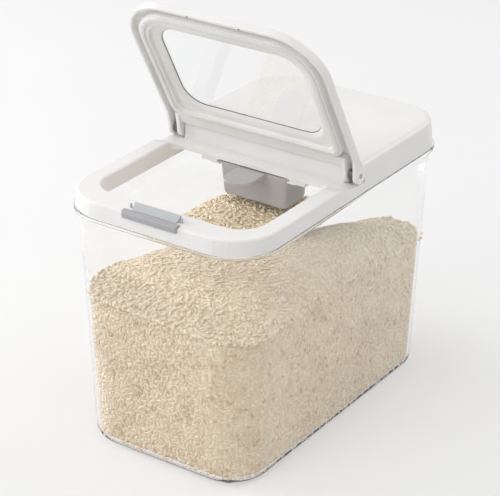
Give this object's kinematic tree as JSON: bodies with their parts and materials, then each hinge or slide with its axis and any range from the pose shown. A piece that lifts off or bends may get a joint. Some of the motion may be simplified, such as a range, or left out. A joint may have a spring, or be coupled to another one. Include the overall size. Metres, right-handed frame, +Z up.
{
  "type": "rice bin with flip lid",
  "caption": "Clear rectangular kitchen bin filled with rice, with a white cover, a sprung flip lid with a window, a push latch and a hanging scoop.",
  "frame": {"origin": "bottom centre of the bin, on the plane that its foot pads stand on", "axes": "+Z up, -Y towards the front with the latch, +X towards the bin's right side as seen from the front"},
  "size_m": [0.201, 0.326, 0.3865],
  "materials": {
    "clear_plastic": "clear moulded plastic, smooth",
    "pad_rubber": "soft grey rubber",
    "rice": "loose dry white rice",
    "white_plastic": "satin moulded plastic",
    "silicone": "soft white silicone",
    "dark_seal": "thin dark seal",
    "steel": "bright drawn steel",
    "grey_plastic": "satin moulded plastic",
    "button_grey": "satin moulded plastic",
    "bar_grey": "satin moulded plastic"
  },
  "bodies": {
    "bin": {"bin_body": "clear_plastic", "foot_pads": "pad_rubber", "rice_fill": "rice"},
    "cover": {"top_cover": "white_plastic", "cover_gasket": "silicone", "scoop_rail_left": "white_plastic", "scoop_rail_right": "white_plastic", "rail_screws": "steel", "hinge_pin_left": "steel", "hinge_pin_right": "steel", "torsion_spring_left": "steel", "torsion_spring_right": "steel", "latch_springs": "steel", "latch_housing": "white_plastic", "latch_screws": "steel"},
    "lid": {"flip_lid_frame": "white_plastic", "window_pane": "clear_plastic", "window_gasket": "dark_seal", "lid_seal": "silicone"},
    "latch": {"latch_button": "button_grey", "catch_bar": "bar_grey"},
    "scoop": {"scoop": "grey_plastic"}
  },
  "joints": [
    {"name": "cover_lift", "type": "slide", "parent": "bin", "child": "cover", "axis": [0, 0, 1], "range_m": [0, 0.06]},
    {"name": "lid_hinge", "type": "hinge", "parent": "cover", "child": "lid", "pos_m": [0, 0.0063, 0.2425], "axis": [1, 0, 0], "range_deg": [0, 61.5], "stiffness_Nm_per_rad": 0.15, "springref_deg": -68.75},
    {"name": "latch_press", "type": "slide", "parent": "cover", "child": "latch", "axis": [0, 1, 0], "range_m": [0, 0.0016], "stiffness_N_per_m": 600, "springref_m": -0.003, "deforming": ["latch_springs"]},
    {"name": "scoop_slide", "type": "slide", "parent": "cover", "child": "scoop", "axis": [0, -1, 0], "range_m": [0, 0.07]}
  ]
}
